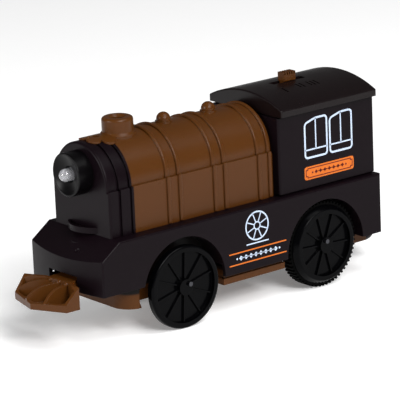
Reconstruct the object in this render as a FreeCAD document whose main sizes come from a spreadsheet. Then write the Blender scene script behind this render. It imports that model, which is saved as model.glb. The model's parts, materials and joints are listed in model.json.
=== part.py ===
import FreeCAD, Part
import math
import os
import Sketcher

# Battery-driven toy steam locomotive with a swinging cow-catcher.
# Row frame: +X forward, +Y to the loco's left, +Z up, origin on the ground under the
# middle of the whole object.  Every number is in millimetres or degrees.

DIMENSIONS = {
    # moulded chassis shell
    "chassis_front": 67.2, "chassis_rear": -72.8, "half_width": 22.5, "rail_top": 40.8,
    "deck": 1.6, "shell_wall": 1.6, "front_bottom": 20.7, "skirt_bottom": 15.9,
    "rear_bottom": 16.5, "apron_start": 58.7, "apron_slope": 0.7176,
    "bumper_radius": 102.5, "bumper_nose": 69.7, "arch_radius": 19.8,
    "arch_level": 16.3, "edge_round": 0.8, "slot_half": 8.8, "slot_top": 26.7,
    # wheels and axles
    "front_axle": 28.5, "front_radius": 16.3, "rear_axle": -42.85, "rear_level": 17.4,
    "tyre_radius": 17.4, "tyre_root": 16.6, "tyre_bore": 14.6, "wheel_face": 22.8,
    "wheel_back": 20.0, "dish_depth": 1.7, "fin_width": 0.6, "boss_radius": 3.2,
    "arch_lip": 1.5, "lip_inner": 14.6,
    "axle_radius": 1.0, "running_gap": 0.06, "crank_radius": 0.9, "crank_throw": 1.9,
    "crank_end": 24.0, "tyre_outer": 20.3, "tyre_inner": 14.8,
    # underframe
    "frame_bottom": 11.9, "floor": 1.4, "frame_top": 20.2, "spine_half": 11.5,
    "nose_rear": 44.5, "nose_front": 55.0, "nose_half": 20.0, "nose_corner": 8.0,
    "strip_front": 8.2, "strip_rear": -22.8, "strip_half": 20.5, "strip_ledge": 14.4,
    "tail_half": 15.0, "tail_front": -62.5, "frame_rear": -70.8, "well_radius": 20.0,
    # boiler, smokebox and headlamp
    "boiler_rear": -20.6, "boiler_front": 47.3, "smokebox_front": 58.9,
    "arch_centre": 59.5, "barrel_radius": 16.2, "rib_height": 0.85, "rib_width": 1.7,
    "rib_round": 0.6, "ledge": 58.9,
    "boiler_half": 17.2, "smokebox_half": 17.7, "body_wall": 1.5,
    "lamp_level": 63.8, "lamp_radius": 8.5, "lamp_front": 65.4, "led_radius": 2.5,
    "chimney_x": 40.2, "chimney_radius": 6.1, "chimney_top": 81.9,
    "dome_radius": 2.8, "dome_level": 76.7, "front_dome": 18.2, "rear_dome": -3.9,
    # cab and roof
    "cab_front": -22.0, "cab_rear": -72.0, "cab_half": 20.1, "cab_bottom": 41.6,
    "cab_top": 72.2, "cab_wall": 1.6, "roof_half": 22.1, "fascia": 72.8,
    "roof_edge": 75.5, "roof_crest": 80.6, "roof_radius": 50.4, "roof_skin": 1.6,
    "switch_x": -44.4, "slot_length": 16.4, "slot_width": 3.6, "knob_length": 6.0,
    "knob_width": 3.8, "knob_height": 3.7,
    # cow-catcher
    "pivot_x": 60.2, "pivot_radius": 2.0, "pilot_yaw": 6.4, "pilot_bottom": 16.8,
    "pilot_top": 24.5, "pilot_tip": 27.1, "pilot_side_u": 22.0, "pilot_side_v": 14.3,
    "pilot_back_u": 16.0, "pilot_back_v": 15.2, "hub_u": 12.6, "tongue_half": 6.2,
    "tongue_top": 24.8, "tongue_bottom": 21.4,
    # drive train
    "gear_module": 0.5, "gear_pitch": 8.0, "pin_radius": 0.75, "wheel_teeth": 24,
    "pinion_teeth": 8, "motor_radius": 6.0, "motor_flat": 5.0, "shaft_radius": 0.75,
    "box_right": -11.9, "box_split": -7.1, "box_left": -2.3, "box_half": 7.7,
    "box_wall": 1.1, "gear_room": 6.8,
    # battery
    "cell_radius": 7.25, "cell_rear": -28.8, "cell_front": 21.7, "cell_level": 21.2,
    "bay_rear": -29.3, "bay_front": 25.4, "bay_half": 7.8, "door_half": 9.2,
    "door_rear": -33.3, "door_front": 25.1, "door_thick": 1.3,
    # rear coupling
    "coupling_x": -82.13, "coupling_radius": 5.0, "coupling_level": 11.3,
    "coupling_top": 16.2, "coupling_bore": 1.75,
}

doc = FreeCAD.newDocument("toy_locomotive")
sheet = doc.addObject("Spreadsheet::Sheet", "Dims")
for row, (alias, value) in enumerate(DIMENSIONS.items(), start=1):
    sheet.set("A%d" % row, alias)
    sheet.set("B%d" % row, str(value))
    sheet.setAlias("B%d" % row, alias)
doc.recompute()


class Size:
    """A length that knows its value and the sheet formula it comes from."""

    def __init__(self, value, formula=None):
        self.value = float(value)
        self.formula = formula or ("%.6f" % self.value if value >= 0 else "(%.6f)" % self.value)

    def mix(self, other, sign, value, swap=False):
        first, second = (other, self) if swap else (self, other)
        return Size(value, "(%s %s %s)" % (first.formula, sign, second.formula))

    def __add__(self, other):
        other = sized(other)
        return self.mix(other, "+", self.value + other.value)

    def __sub__(self, other):
        other = sized(other)
        return self.mix(other, "-", self.value - other.value)

    def __mul__(self, other):
        other = sized(other)
        return self.mix(other, "*", self.value * other.value)

    def __rsub__(self, other):
        other = sized(other)
        return self.mix(other, "-", other.value - self.value, True)

    def __neg__(self):
        return Size(0.0) - self

    def __float__(self):
        return self.value

    __radd__ = __add__
    __rmul__ = __mul__


def sized(number):
    return number if isinstance(number, Size) else Size(number)


class Table:
    """Every driving dimension as an attribute."""


D = Table()
for alias, value in DIMENSIONS.items():
    setattr(D, alias, Size(value, "Dims." + alias))

ALONG_X = FreeCAD.Rotation(FreeCAD.Vector(0, 1, 0), 90)
ALONG_Y = FreeCAD.Rotation(FreeCAD.Vector(1, 0, 0), -90)
UPRIGHT = FreeCAD.Rotation()
SIDES = (("left", 1), ("right", -1))
finished = []


def place(obj, position, rotation=UPRIGHT):
    """Put an object at a position that stays bound to the sheet."""
    obj.Placement = FreeCAD.Placement(FreeCAD.Vector(0, 0, 0), rotation)
    for axis, length in zip("xyz", position):
        obj.setExpression("Placement.Base." + axis, sized(length).formula)
    return obj


def box(name, low, high):
    """A block from its low corner to its high corner."""
    obj = doc.addObject("Part::Box", name)
    for prop, a, b in zip(("Length", "Width", "Height"), low, high):
        obj.setExpression(prop, (sized(b) - sized(a)).formula)
    return place(obj, low)


def turned_box(name, low, high, pivot, rotation):
    """A block given in a frame that is turned about a pivot point."""
    obj = doc.addObject("Part::Box", name)
    for prop, a, b in zip(("Length", "Width", "Height"), low, high):
        obj.setExpression(prop, (sized(b) - sized(a)).formula)
    corner = FreeCAD.Placement(FreeCAD.Vector(*[float(v) for v in low]), UPRIGHT)
    pivot = FreeCAD.Vector(*[float(v) for v in pivot])
    obj.Placement = FreeCAD.Placement(pivot, rotation) * corner
    return obj


def rod(name, radius, length, start, rotation=UPRIGHT):
    """A cylinder that runs from a start point along its own axis."""
    obj = doc.addObject("Part::Cylinder", name)
    obj.setExpression("Radius", sized(radius).formula)
    obj.setExpression("Height", sized(length).formula)
    return place(obj, start, rotation)


def cone(name, first, last, length, start, rotation=UPRIGHT):
    """A cone whose radius runs from first to last over its length."""
    obj = doc.addObject("Part::Cone", name)
    obj.setExpression("Radius1", sized(first).formula)
    obj.setExpression("Radius2", sized(last).formula)
    obj.setExpression("Height", sized(length).formula)
    return place(obj, start, rotation)


def ball(name, radius, centre):
    obj = doc.addObject("Part::Sphere", name)
    obj.setExpression("Radius", sized(radius).formula)
    return place(obj, centre)


def fuse(name, parts):
    obj = doc.addObject("Part::MultiFuse", name)
    obj.Shapes = parts
    obj.Refine = True
    return obj


def cut(name, base, tools):
    """Base less one tool, or less several tools joined first."""
    obj = doc.addObject("Part::Cut", name)
    obj.Base = base
    obj.Tool = tools[0] if len(tools) == 1 else fuse(name + "_tools", tools)
    obj.Refine = True
    return obj


def common(name, first, second):
    obj = doc.addObject("Part::Common", name)
    obj.Base = first
    obj.Tool = second
    return obj


def rounded(name, base, radius, wanted):
    """Round the edges of base that the test accepts."""
    doc.recompute()
    obj = doc.addObject("Part::Fillet", name)
    obj.Base = base
    edges = [i + 1 for i, edge in enumerate(base.Shape.Edges) if wanted(edge)]
    obj.Edges = [(i, float(radius), float(radius)) for i in edges]
    return obj


def outline(name, plane, points, length, offset=0):
    """A padded straight-sided outline in a body of its own."""
    body = doc.addObject("PartDesign::Body", name)
    sketch = body.newObject("Sketcher::SketchObject", name + "_outline")
    support = [f for f in body.Origin.OriginFeatures if f.Role == plane][0]
    sketch.AttachmentSupport = [(support, "")]
    sketch.MapMode = "FlatFace"
    corners = [FreeCAD.Vector(float(a), float(b), 0) for a, b in points]
    loop = corners[1:] + corners[:1]
    sketch.addGeometry([Part.LineSegment(a, b) for a, b in zip(corners, loop)], False)
    for i, point in enumerate(points):
        for kind, length_to in zip(("DistanceX", "DistanceY"), point):
            if isinstance(length_to, Size):
                rule = Sketcher.Constraint(kind, -1, 1, i, 1, float(length_to))
                index = sketch.addConstraint(rule)
                sketch.setExpression("Constraints[%d]" % index, length_to.formula)
    if any(isinstance(v, Size) for point in points for v in point):
        for i in range(len(points)):
            after = (i + 1) % len(points)
            sketch.addConstraint(Sketcher.Constraint("Coincident", i, 2, after, 1))
    sketch.setExpression("AttachmentOffset.Base.z", sized(offset).formula)
    pad = body.newObject("PartDesign::Pad", name + "_pad")
    pad.Profile = sketch
    pad.setExpression("Length", sized(length).formula)
    body.Tip = pad
    return body


def across(name, points, half):
    """An X-Z outline padded equally to both sides of the centre plane."""
    return outline(name, "XZ_Plane", points, half * 2, -half)


def finish(obj, label):
    """Keep an object as one sub-part; its label names its file."""
    obj.Label = label
    finished.append(obj)
    return obj


def screw(name, head, head_height, shank, length, position, rotation=UPRIGHT):
    """A pan-head screw, head down, with a cross recess and a short point."""
    x, y, z = position
    parts = [rod(name + "_head", head, head_height, (0, 0, 0)),
             rod(name + "_shank", shank, head_height + length - shank, (0, 0, 0)),
             cone(name + "_point", shank, shank * 0.4, shank, (0, 0, head_height + length - shank))]
    slots = [box(name + "_slot_a", (-head * 0.6, -0.25, -1), (head * 0.6, 0.25, head_height * 0.5)),
             box(name + "_slot_b", (-0.25, -head * 0.6, -1), (0.25, head * 0.6, head_height * 0.5))]
    solid = cut(name, fuse(name + "_solid", parts), slots)
    return place(solid, position, rotation)


# ---------------------------------------------------------------- chassis shell
slope = D.apron_slope
deck_under = D.rail_top - D.deck
far = D.apron_start + 14
profile = [(D.chassis_rear, D.rail_top), (D.apron_start, D.rail_top),
           (far, D.rail_top - slope * 14), (far, D.skirt_bottom),
           (D.chassis_rear, D.skirt_bottom)]
block = across("shell_block", profile, D.half_width)
nose_disc = rod("shell_nose", D.bumper_radius, 60, (D.bumper_nose - D.bumper_radius, 0, 0))
block = common("shell_body", block, nose_disc)


def shell_edge(edge):
    """The long rail edges, the apron edges and the upright corners."""
    if len(edge.Vertexes) < 2 or edge.Curve.TypeId != "Part::GeomLine":
        return False
    a, b = edge.Vertexes[0].Point, edge.Vertexes[1].Point
    high = min(a.z, b.z) > D.rail_top.value - 10
    side = abs(abs(a.y) - D.half_width.value) < 0.01 and abs(a.y - b.y) < 0.01
    upright = abs(a.x - b.x) < 0.01 and abs(a.y - b.y) < 0.01
    return (high and side) or upright


block = rounded("shell_rounded", block, D.edge_round, shell_edge)
wall = D.shell_wall
inner = [(D.chassis_rear + wall, deck_under), (D.apron_start - 0.7, deck_under),
         (far - 0.7, deck_under - slope * 14), (far - 0.7, 0), (D.chassis_rear + wall, 0)]
hollow = common("shell_hollow", across("shell_room", inner, D.half_width - wall),
                rod("shell_room_nose", D.bumper_radius - wall, 60,
                    (D.bumper_nose - D.bumper_radius, 0, -2)))
lowers = [box("shell_front_low", (D.front_axle, -30, 0), (90, 30, D.front_bottom)),
          box("shell_rear_low", (-90, -30, 0), (D.rear_axle, 30, D.rear_bottom)),
          box("shell_slot", (D.nose_front, -D.slot_half, 0), (90, D.slot_half, D.slot_top))]
arches = []
for end, x in (("front", D.front_axle), ("rear", D.rear_axle)):
    arches.append(rod("shell_arch_" + end, D.arch_radius, 60, (x, -30, D.arch_level), ALONG_Y))
shell = cut("shell_open", block, [hollow] + lowers + arches)
# inward lips around the wheel openings, and webs that flank the slot
lips = []
lip_rooms = []
for end, x in (("front", D.front_axle), ("rear", D.rear_axle)):
    for side, low_y in (("left", D.lip_inner), ("right", -D.half_width + 0.4)):
        depth = D.half_width - D.lip_inner - 0.4
        key = end + "_" + side
        lips.append(rod("arch_lip_" + key, D.arch_radius + D.arch_lip, depth,
                        (x, low_y, D.arch_level), ALONG_Y))
    lip_rooms.append(rod("arch_lip_room_" + end, D.arch_radius, 60, (x, -30, D.arch_level), ALONG_Y))
    floor_z = D.front_bottom if end == "front" else D.rear_bottom
    lip_rooms.append(box("arch_lip_zone_" + end, (x - 25, -30, -10), (x + 25, 30, floor_z)))
lip_rooms.append(box("arch_lip_nose_room", (D.nose_rear - 0.3, -D.nose_half - 0.3, 0),
                     (90, D.nose_half + 0.3, 21.2)))
lip_rooms.append(box("arch_lip_strip_room", (D.strip_rear - 0.3, -D.strip_half - 0.3, 0),
                     (D.strip_front + 0.3, D.strip_half + 0.3, 19.3)))
lip_rooms.append(box("arch_lip_tail_room", (D.frame_rear - 0.3, -D.tail_half - 0.3, 0),
                     (D.tail_front + 0.3, D.tail_half + 0.3, D.frame_top + 0.3)))
lips = cut("arch_lips", fuse("arch_lip_rings", lips), lip_rooms)
webs = []
for side, sign in SIDES:
    webs.append(box("slot_web_" + side, (55.8, sign * 9.7 - 0.7, D.front_bottom),
                    (65.9, sign * 9.7 + 0.7, D.rail_top)))
    webs.append(box("slot_web_low_" + side, (65.8, sign * 9.7 - 0.7, D.front_bottom),
                    (69.0, sign * 9.7 + 0.7, 24.1)))
webs = common("slot_webs", fuse("slot_web_pair", webs), block)
shell = fuse("shell_stiffened", [shell, lips, webs])
posts = []
post_holes = []
POSTS = ((43.0, 7.0), (43.0, -7.0), (-60.0, 8.0), (-60.0, -8.0))
for i, (x, y) in enumerate(POSTS):
    posts.append(rod("shell_post_%d" % i, 2.6, deck_under - D.frame_top, (x, y, D.frame_top)))
    post_holes.append(rod("shell_post_hole_%d" % i, 1.15, 9, (x, y, D.frame_top - 1)))
pivot_low = D.tongue_top + 0.2
posts.append(rod("pivot_post", 3.6, 12.6, (D.pivot_x, 0, pivot_low)))
posts.append(rod("pivot_journal", D.pivot_radius, 4, (D.pivot_x, 0, D.tongue_bottom - 0.2)))
post_holes.append(rod("pivot_hole", 0.85, 12, (D.pivot_x, 0, D.tongue_bottom - 1)))
box_low_x = D.rear_axle - D.box_half
box_high_x = D.rear_axle + D.box_half
deck_cuts = [box("deck_window", (box_low_x - 0.6, -12.6, 30), (box_high_x + 0.6, 14.2, 50)),
             box("deck_lead_slot", (50.5, -3, 30), (54.5, 3, 50)),
             box("deck_side_slot", (-38.0, 8.4, 30), (-31.4, 14.8, 50)),
             ball("apron_dimple", 1.4, (66.4, 5.3, D.rail_top - slope * 7.7 + 1.0))]
BODY_SCREWS = ((36.0, 0.0), (-14.0, 0.0), (-26.4, 0.0), (-67.6, 0.0))
for i, (x, y) in enumerate(BODY_SCREWS):
    deck_cuts.append(rod("deck_hole_%d" % i, 1.3, 10, (x, y, 34)))
shell = cut("chassis_shell", fuse("shell_posts", [shell] + posts), post_holes + deck_cuts)
finish(shell, "chassis_shell")

# ------------------------------------------------------------------- underframe
low = D.frame_bottom
top_face = D.frame_top
nose = box("nose_block", (D.nose_rear, -D.nose_half, low), (D.nose_front, D.nose_half, 20.9))


def nose_edge(edge):
    a, b = edge.Vertexes[0].Point, edge.Vertexes[-1].Point
    return abs(a.z - b.z) > 1 and a.x > 50


nose = rounded("nose_rounded", nose, D.nose_corner, nose_edge)
nose_room = box("nose_room_block", (49.6, -D.nose_half + 3.5, low + D.floor),
                (D.nose_front - D.floor, D.nose_half - 3.5, 30))
nose_room = rounded("nose_room", nose_room, 3.4,
                    lambda e: nose_edge(e) and e.Vertexes[0].Point.x > 52)
bays = [nose,
        box("spine", (D.frame_rear, -D.spine_half, low), (D.nose_front - 0.5, D.spine_half, top_face)),
        box("strip_low", (D.strip_rear, -D.strip_half, low),
            (D.strip_front, D.strip_half, D.strip_ledge)),
        box("strip_high", (D.strip_rear + 0.6, -D.strip_half + 0.7, low),
            (D.strip_front - 0.6, D.strip_half - 0.7, 19)),
        box("tail", (D.frame_rear, -D.tail_half, low), (D.tail_front, D.tail_half, top_face))]
rooms = [nose_room,
         box("front_room", (32.4, -10.1, low + D.floor), (53.0, 10.1, 30)),
         box("battery_bay", (D.bay_rear, -D.bay_half, low + D.floor), (D.bay_front, D.bay_half, 30)),
         box("door_hole", (D.door_rear - 0.2, -D.door_half - 0.2, 0),
             (D.door_front + 0.2, D.door_half + 0.2, low + D.floor)),
         box("rear_room", (D.frame_rear + D.floor, -10.1, low + D.floor), (-54.6, 10.1, 30)),
         box("tail_room", (D.frame_rear + D.floor, -D.tail_half + D.floor, low + D.floor),
             (D.tail_front - D.floor, D.tail_half - D.floor, 30)),
         box("gearbox_window", (box_low_x - 0.3, D.box_right - 0.3, 0),
             (box_high_x + 0.3, D.box_left + 0.3, 30)),
         box("motor_side_room", (box_low_x - 0.3, D.box_left, low + D.floor),
             (box_high_x + 0.3, 10.1, 30)),
         box("coupling_notch", (-75, -4.8, low + D.floor), (-68, 4.8, 16.5))]
for side, sign in SIDES:
    lo_y, hi_y = (11.5, 19.8) if sign > 0 else (-19.8 + 1.4, -11.5)
    rooms.append(box("strip_room_" + side, (D.strip_rear + 2, lo_y, low + D.floor),
                     (D.strip_front - 2, hi_y - 1.4 if sign > 0 else hi_y, 30)))
    start = D.spine_half if sign > 0 else -D.spine_half - 15
    rooms.append(rod("well_" + side, D.well_radius, 15,
                     (D.front_axle, start, D.arch_level), ALONG_Y))
# arched liners behind the shell's wheel openings, with a wall on the inboard side
liners = []
liner_rooms = []
for end, x in (("front", D.front_axle), ("rear", D.rear_axle)):
    liners.append(rod("liner_" + end, D.arch_radius + 1.5, (D.lip_inner - 0.2) * 2,
                      (x, -D.lip_inner + 0.2, D.arch_level), ALONG_Y))
    for side, start in (("left", 11.5), ("right", -26.5)):
        liner_rooms.append(rod("liner_room_%s_%s" % (end, side), D.arch_radius + 0.3, 15,
                               (x, start, D.arch_level), ALONG_Y))
    liner_rooms.append(box("liner_middle_" + end, (x - 25, -10.7, low + D.floor),
                           (x + 25, 10.7, 60)))
liner = cut("liner_arches", fuse("liner_solid", liners), liner_rooms)
liner = common("liner_upper", liner, box("liner_zone", (-90, -30, 15.5), (90, 30, 60)))
bosses = []
holes = []
for side, sign in SIDES:
    for i, x in enumerate((46.4, 48.3)):
        groove_y = D.nose_half - 0.5 if sign > 0 else -D.nose_half - 1
        holes.append(box("nose_groove_%s_%d" % (side, i), (x, groove_y, low - 1),
                         (x + 0.7, groove_y + 1.5, 19.4)))
for i, (x, y) in enumerate(POSTS):
    bosses.append(rod("frame_boss_%d" % i, 3.2, top_face - low - 0.1, (x, y, low)))
    holes.append(rod("frame_hole_%d" % i, 1.2, 30, (x, y, 0)))
    holes.append(rod("frame_sink_%d" % i, 2.4, 15.5, (x, y, 0)))
boss_x = D.rear_axle - 2.6
bosses.append(box("rear_bearing", (boss_x, 8.2, low), (boss_x + 5.2, D.spine_half, top_face)))
gap = D.axle_radius + D.running_gap
holes.append(rod("front_bore", gap, 40, (D.front_axle, -20, D.front_radius), ALONG_Y))
holes.append(rod("front_relief", 2.0, 14, (D.front_axle, -7, D.front_radius), ALONG_Y))
holes.append(rod("rear_bore", gap, 30, (D.rear_axle, 0, D.rear_level), ALONG_Y))
holes.append(rod("door_screw_hole", 0.85, 8, (-31.3, 0, low + 0.5)))
holes.append(rod("coupling_tap", 1.0, 5, (-67.4, 0, low - 1)))
EARS = ((-33.2, -4.7), (-33.2, -9.5), (-52.6, -4.7), (-52.6, -9.5))
for i, (x, y) in enumerate(EARS):
    holes.append(rod("ear_tap_%d" % i, 0.8, 5, (x, y, top_face - 4.4)))
holes.append(box("gearbox_room", (box_low_x - 0.3, D.box_right - 0.6, 0),
                 (box_high_x + 0.3, D.box_left + 0.3, 50)))
holes.append(box("motor_room", (D.rear_axle - 6.7, D.box_left, 36.0),
                 (D.rear_axle + 6.7, 13.0, 50)))
holes.append(box("ear_room", (-54.5, D.box_right - 0.3, top_face), (-31.3, -7.0, 24.2)))
frame = cut("frame_hollow", fuse("frame_blocks", bays), rooms)
frame = cut("underframe", fuse("frame_bossed", [frame, liner] + bosses), holes)
finish(frame, "underframe")

# ------------------------------------------------------- boiler casing (one moulding)


def arched(name, rear, front, half, radius, centre, bottom, ledge):
    """A barrel on straight side panels, from the rear plane to the front plane."""
    return fuse(name, [
        box(name + "_panels", (rear, -half, bottom), (front, half, ledge)),
        box(name + "_shoulder", (rear, -radius, bottom), (front, radius, centre)),
        rod(name + "_barrel", radius, front - rear, (rear, 0, centre), ALONG_X)])


def long_edge(edge):
    """The upright outer edges and the top edges of a raised strip."""
    a, b = edge.Vertexes[0].Point, edge.Vertexes[-1].Point
    return abs(a.x - b.x) < 0.01 and max(a.z, b.z) > D.ledge.value


panel_wall = D.body_wall
casing = [arched("casing_skin", D.boiler_rear, D.boiler_front, D.boiler_half,
                 D.barrel_radius, D.arch_centre, D.rail_top, D.ledge),
          arched("casing_collar", D.cab_front + 0.1, D.boiler_rear + 1, D.boiler_half - 1,
                 D.barrel_radius - 1, D.arch_centre, D.rail_top, D.ledge - 1)]
RIBS = (30.6, 25.0, 8.1, 2.9, -14.2, -19.5)
for i, x in enumerate(RIBS):
    lift = D.rib_height
    start = x - D.rib_width.value / 2
    hoop = rod("casing_rib_%d" % i, D.barrel_radius + lift, D.rib_width,
               (start, 0, D.arch_centre), ALONG_X)
    strip = box("casing_panel_rib_%d" % i, (start, -D.boiler_half - lift, D.rail_top + 0.5),
                (start + D.rib_width, D.boiler_half + lift, D.ledge + 0.5))
    casing.append(rounded("casing_hoop_%d" % i, hoop, D.rib_round, lambda e: e.Closed))
    casing.append(rounded("casing_strip_%d" % i, strip, D.rib_round, long_edge))
stack = rod("chimney_stack", D.chimney_radius, D.chimney_top - 69.0, (D.chimney_x, 0, 69.0))
casing.append(rounded("chimney_rim", stack, 1.2,
                      lambda e: e.Closed and e.Vertexes[0].Point.z > D.chimney_top.value - 0.1))
casing.append(cone("chimney_foot", D.chimney_radius + 0.7, D.chimney_radius, 0.9,
                   (D.chimney_x, 0, 75.5)))
casing.append(rod("chimney_foot_ring", D.chimney_radius + 0.7, 6.4, (D.chimney_x, 0, 69.1)))
for i, x in enumerate((D.front_dome, D.rear_dome)):
    casing.append(ball("dome_ball_%d" % i, D.dome_radius, (x, 0, D.dome_level)))
    casing.append(rod("dome_foot_%d" % i, D.dome_radius + 0.5, 2, (x, 0, 74.1)))
# scalloped plate that hugs the smokebox's crown, as two pairs of lobes
lobes = [box("saddle_bridge", (44.0, -4.2, 70.0), (53.0, 4.2, 80.0))]
for side, sign in SIDES:
    lobes.append(rod("saddle_front_lobe_" + side, 2.9, 10, (53.4, sign * 2.3, 70.0)))
    lobes.append(rod("saddle_rear_lobe_" + side, 3.0, 10, (48.2, sign * 4.4, 70.0)))
smokebox_radius = 16.5
smokebox_level = 58.8
hug = cut("saddle_sheet", rod("saddle_outer", smokebox_radius + 0.75, 16,
                              (43.0, 0, smokebox_level), ALONG_X),
          [rod("saddle_inner", smokebox_radius + 0.05, 20, (42.0, 0, smokebox_level), ALONG_X)])
casing.append(common("saddle_plate", fuse("saddle_lobes", lobes), hug))
casing.append(ball("saddle_bead", 0.7, (54.4, 0.3, 76.1)))
casing_room = arched("casing_room", D.cab_front - 5, D.boiler_front + 5,
                     D.boiler_half - panel_wall, D.barrel_radius - panel_wall,
                     D.arch_centre, D.rail_top - 5, D.ledge - panel_wall)
casing_room = common("casing_room_cut", casing_room,
                     box("casing_room_zone", (D.cab_front - 5, -30, 30),
                         (D.boiler_front + 5, 30, 75.4)))
shell_of_boiler = cut("casing_shell", fuse("casing_solid", casing), [casing_room])
boiler_posts = []
boiler_bores = [rod("chimney_bore", 2.6, 12, (D.chimney_x, 0, 77.4)),
                cone("chimney_mouth", 2.6, 3.5, 0.9, (D.chimney_x, 0, D.chimney_top - 0.9)),
                rod("saddle_dimple", 1.4, 4, (50.6, 0, 74.9))]
for i, (x, y) in enumerate(BODY_SCREWS[:2]):
    boiler_posts.append(rod("casing_post_%d" % i, 2.6, 74.6 - D.rail_top, (x, y, D.rail_top)))
    boiler_bores.append(rod("casing_post_bore_%d" % i, 1.15, 12, (x, y, D.rail_top - 1)))
finish(cut("boiler_casing", fuse("casing_posts", [shell_of_boiler] + boiler_posts), boiler_bores),
       "boiler_casing")

# --------------------------------------------------------------------- smokebox
box_rear = D.boiler_front
core = [arched("smokebox_core", box_rear, D.smokebox_front - 0.4, D.smokebox_half - 0.8,
               smokebox_radius - 0.8, smokebox_level, D.rail_top, D.ledge - 0.7)]
BANDS = ((box_rear.value, 48.3), (49.3, 53.4), (54.8, D.smokebox_front.value))
for i, (rear, front) in enumerate(BANDS):
    core.append(arched("smokebox_band_%d" % i, rear, front, D.smokebox_half, smokebox_radius,
                       smokebox_level, D.rail_top, D.ledge))
smokebox = fuse("smokebox_solid", core)


def smokebox_face(edge):
    """The outline of the front face, except along the base."""
    points = [v.Point for v in edge.Vertexes]
    on_face = all(abs(p.x - D.smokebox_front.value) < 0.01 for p in points)
    return on_face and max(p.z for p in points) > D.rail_top.value + 1


smokebox = rounded("smokebox_rounded", smokebox, 0.9, smokebox_face)
smokebox_room = arched("smokebox_room", box_rear - 5, D.smokebox_front - 1.7,
                       D.smokebox_half - 2.1, 14.2, smokebox_level, D.rail_top - 5, 57.2)
# half-round step with a raised lip, low on the front face
step_radius = 12.1
step_low = D.rail_top + 0.5
step_x = D.smokebox_front + 4 - step_radius
step = common("step_front", rod("step_disc", step_radius, 2.3, (step_x, 0, step_low)),
              box("step_zone", (D.smokebox_front - 0.5, -20, 20), (90, 20, 60)))
step = cut("step_solid", step, [rod("step_recess", step_radius - 0.9, 2,
                                    (step_x, 0, step_low + 1.3))])
lip = cut("smokebox_lip", arched("lip_skin", box_rear - 3, box_rear + 0.5, D.boiler_half - 1.6,
                                 D.barrel_radius - 1.6, D.arch_centre, D.rail_top, D.ledge - 1.6),
          [arched("lip_room", box_rear - 6, box_rear + 5, D.boiler_half - 2.9,
                  D.barrel_radius - 2.9, D.arch_centre, D.rail_top - 5, D.ledge - 2.9)])
smokebox = cut("smokebox_shell", smokebox, [smokebox_room])
smokebox = cut("smokebox", fuse("smokebox_lipped", [smokebox, lip, step]),
               [rod("lamp_socket", 5.05, 12, (D.smokebox_front - 6, 0, D.lamp_level), ALONG_X)])
finish(smokebox, "smokebox")

# --------------------------------------------------------------------- headlamp
lamp_x = D.smokebox_front
lamp = fuse("lamp_solid", [
    rod("lamp_barrel", D.lamp_radius, D.lamp_front - lamp_x, (lamp_x, 0, D.lamp_level), ALONG_X),
    rod("lamp_spigot", 5.0, 3.4, (lamp_x - 3.4, 0, D.lamp_level), ALONG_X)])
lamp = rounded("lamp_rounded", lamp, 0.35,
               lambda e: all(abs(v.Point.x - D.lamp_front.value) < 0.01 for v in e.Vertexes))
dish_ball = 17.0
lamp = cut("headlamp_barrel", lamp, [
    common("lamp_dish", ball("lamp_dish_ball", dish_ball,
                             (D.lamp_front + dish_ball - 1.9, 0, D.lamp_level)),
           rod("lamp_dish_rim", 7.7, 6, (D.lamp_front - 3, 0, D.lamp_level), ALONG_X)),
    rod("lamp_bore", 3.2, 30, (lamp_x - 10, 0, D.lamp_level), ALONG_X)])
finish(lamp, "headlamp_barrel")
led = fuse("led_solid", [
    rod("led_body", D.led_radius, 4.6, (D.lamp_front - 4.4, 0, D.lamp_level), ALONG_X),
    ball("led_dome", D.led_radius, (D.lamp_front + 0.2, 0, D.lamp_level)),
    rod("led_flange", 3.15, 1.2, (D.lamp_front - 5.4, 0, D.lamp_level), ALONG_X)])
finish(led, "headlamp_led")
legs = [rod("led_leg_%d" % i, 0.25, 9.0, (D.lamp_front - 14.4, y, D.lamp_level), ALONG_X)
        for i, y in enumerate((-1.27, 1.27))]
finish(fuse("led_legs", legs), "led_legs")

# --------------------------------------------------------------------------- cab
skin = box("cab_block", (D.cab_rear, -D.cab_half, D.cab_bottom),
           (D.cab_front, D.cab_half, D.cab_top))


def upright_edge(edge):
    a, b = edge.Vertexes[0].Point, edge.Vertexes[-1].Point
    return abs(a.x - b.x) < 0.01 and abs(a.y - b.y) < 0.01


skin = rounded("cab_rounded", skin, 1.0, upright_edge)
plinth = box("cab_plinth", (D.cab_rear + 0.9, -D.cab_half + 0.9, D.rail_top),
             (D.cab_front - 0.9, D.cab_half - 0.9, D.cab_bottom + 1))
cab_room = box("cab_room", (D.cab_rear + D.cab_wall, -D.cab_half + D.cab_wall, 30),
               (D.cab_front - D.cab_wall, D.cab_half - D.cab_wall, 90))
cab = cut("cab_hollow", fuse("cab_solid", [skin, plinth]), [cab_room])
cab_posts = []
cab_bores = [box("cab_lead_slot_low", (D.cab_front - 3, -9, D.rail_top - 1),
                 (D.cab_front + 3, -5, D.rail_top + 4))]
for i, (x, y) in enumerate(BODY_SCREWS[2:]):
    cab_posts.append(rod("cab_post_%d" % i, 2.9, 14, (x, y, D.rail_top)))
    cab_bores.append(rod("cab_post_bore_%d" % i, 1.15, 12, (x, y, D.rail_top - 1)))
finish(cut("cab_body", fuse("cab_posted", [cab] + cab_posts), cab_bores), "cab_body")

# -------------------------------------------------------------------------- roof
roof_rear = D.cab_rear
roof_front = D.cab_front - 0.4
roof_axis = D.roof_crest - D.roof_radius
roof_block = common("roof_block",
                    box("roof_plan", (roof_rear, -D.roof_half, D.fascia),
                        (roof_front, D.roof_half, 90)),
                    rod("roof_bow", D.roof_radius, roof_front - roof_rear + 2,
                        (roof_rear - 1, 0, roof_axis), ALONG_X))


def roof_corner(edge):
    points = [v.Point for v in edge.Vertexes]
    return max(p.z for p in points) > D.fascia.value + 0.5


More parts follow.
